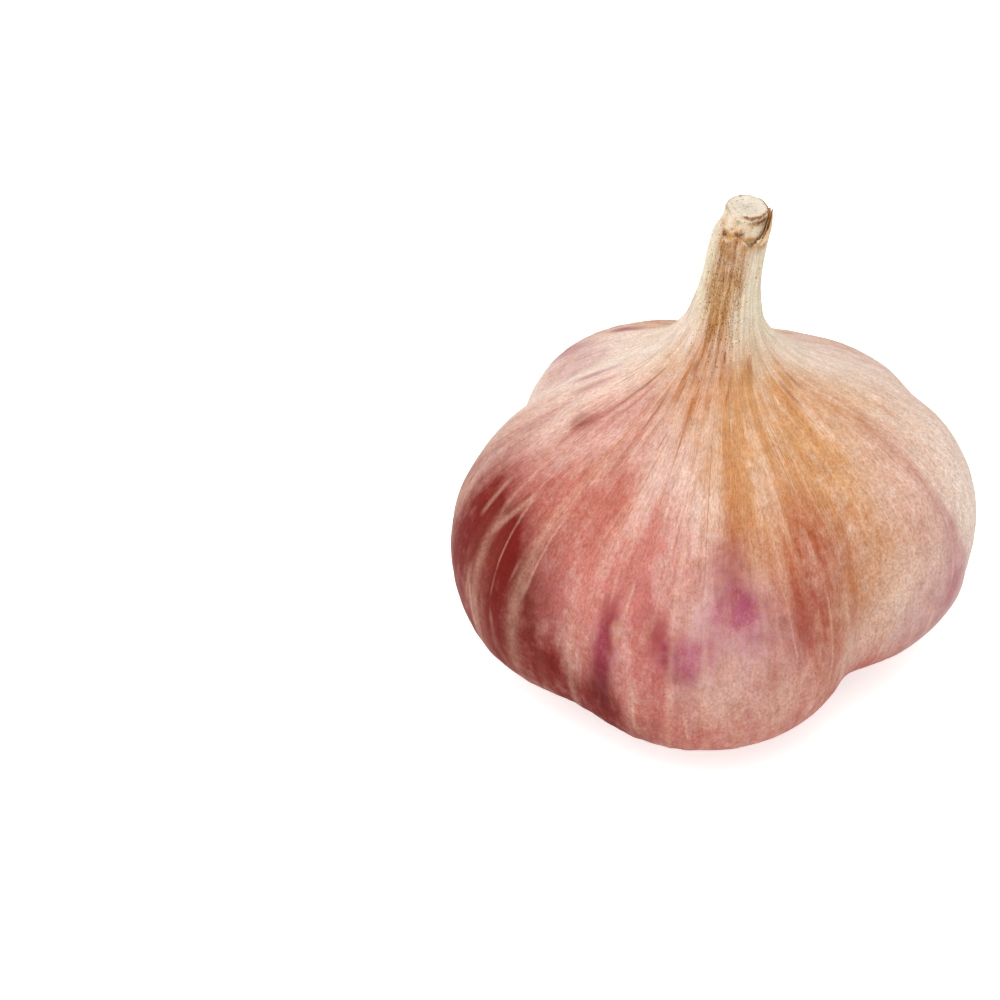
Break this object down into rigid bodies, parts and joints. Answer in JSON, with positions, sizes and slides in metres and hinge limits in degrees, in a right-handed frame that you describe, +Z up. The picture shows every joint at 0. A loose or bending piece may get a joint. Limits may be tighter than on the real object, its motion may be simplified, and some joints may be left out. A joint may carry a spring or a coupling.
{
  "type": "garlic bulb",
  "caption": "Whole dried hardneck garlic bulb with lobed papery purple-streaked wrapper, short leaning neck with a cut flower stalk stub, and trimmed root plate.",
  "frame": {"origin": "centre of the bulb's bounding box in plan, on the surface the root plate rests on", "axes": "+Z up from the root plate to the neck, -Y towards the largest clove, +X towards the side the neck leans to"},
  "size_m": [0.0574, 0.0548, 0.0556],
  "materials": {
    "wrapper_skin": "matt papery skin, cream, ochre and purple streaks, faint sheen",
    "root_wood": "dry fibrous tan",
    "stalk": "dry cream, cut end off-white with brown rim",
    "dry_sheath": "dry papery cream to amber"
  },
  "bodies": {
    "root": {"bulb": "wrapper_skin", "root_plate": "root_wood", "stalk_stub": "stalk", "sheath_tip_inner": "dry_sheath", "sheath_tip_outer": "dry_sheath"}
  },
  "joints": []
}
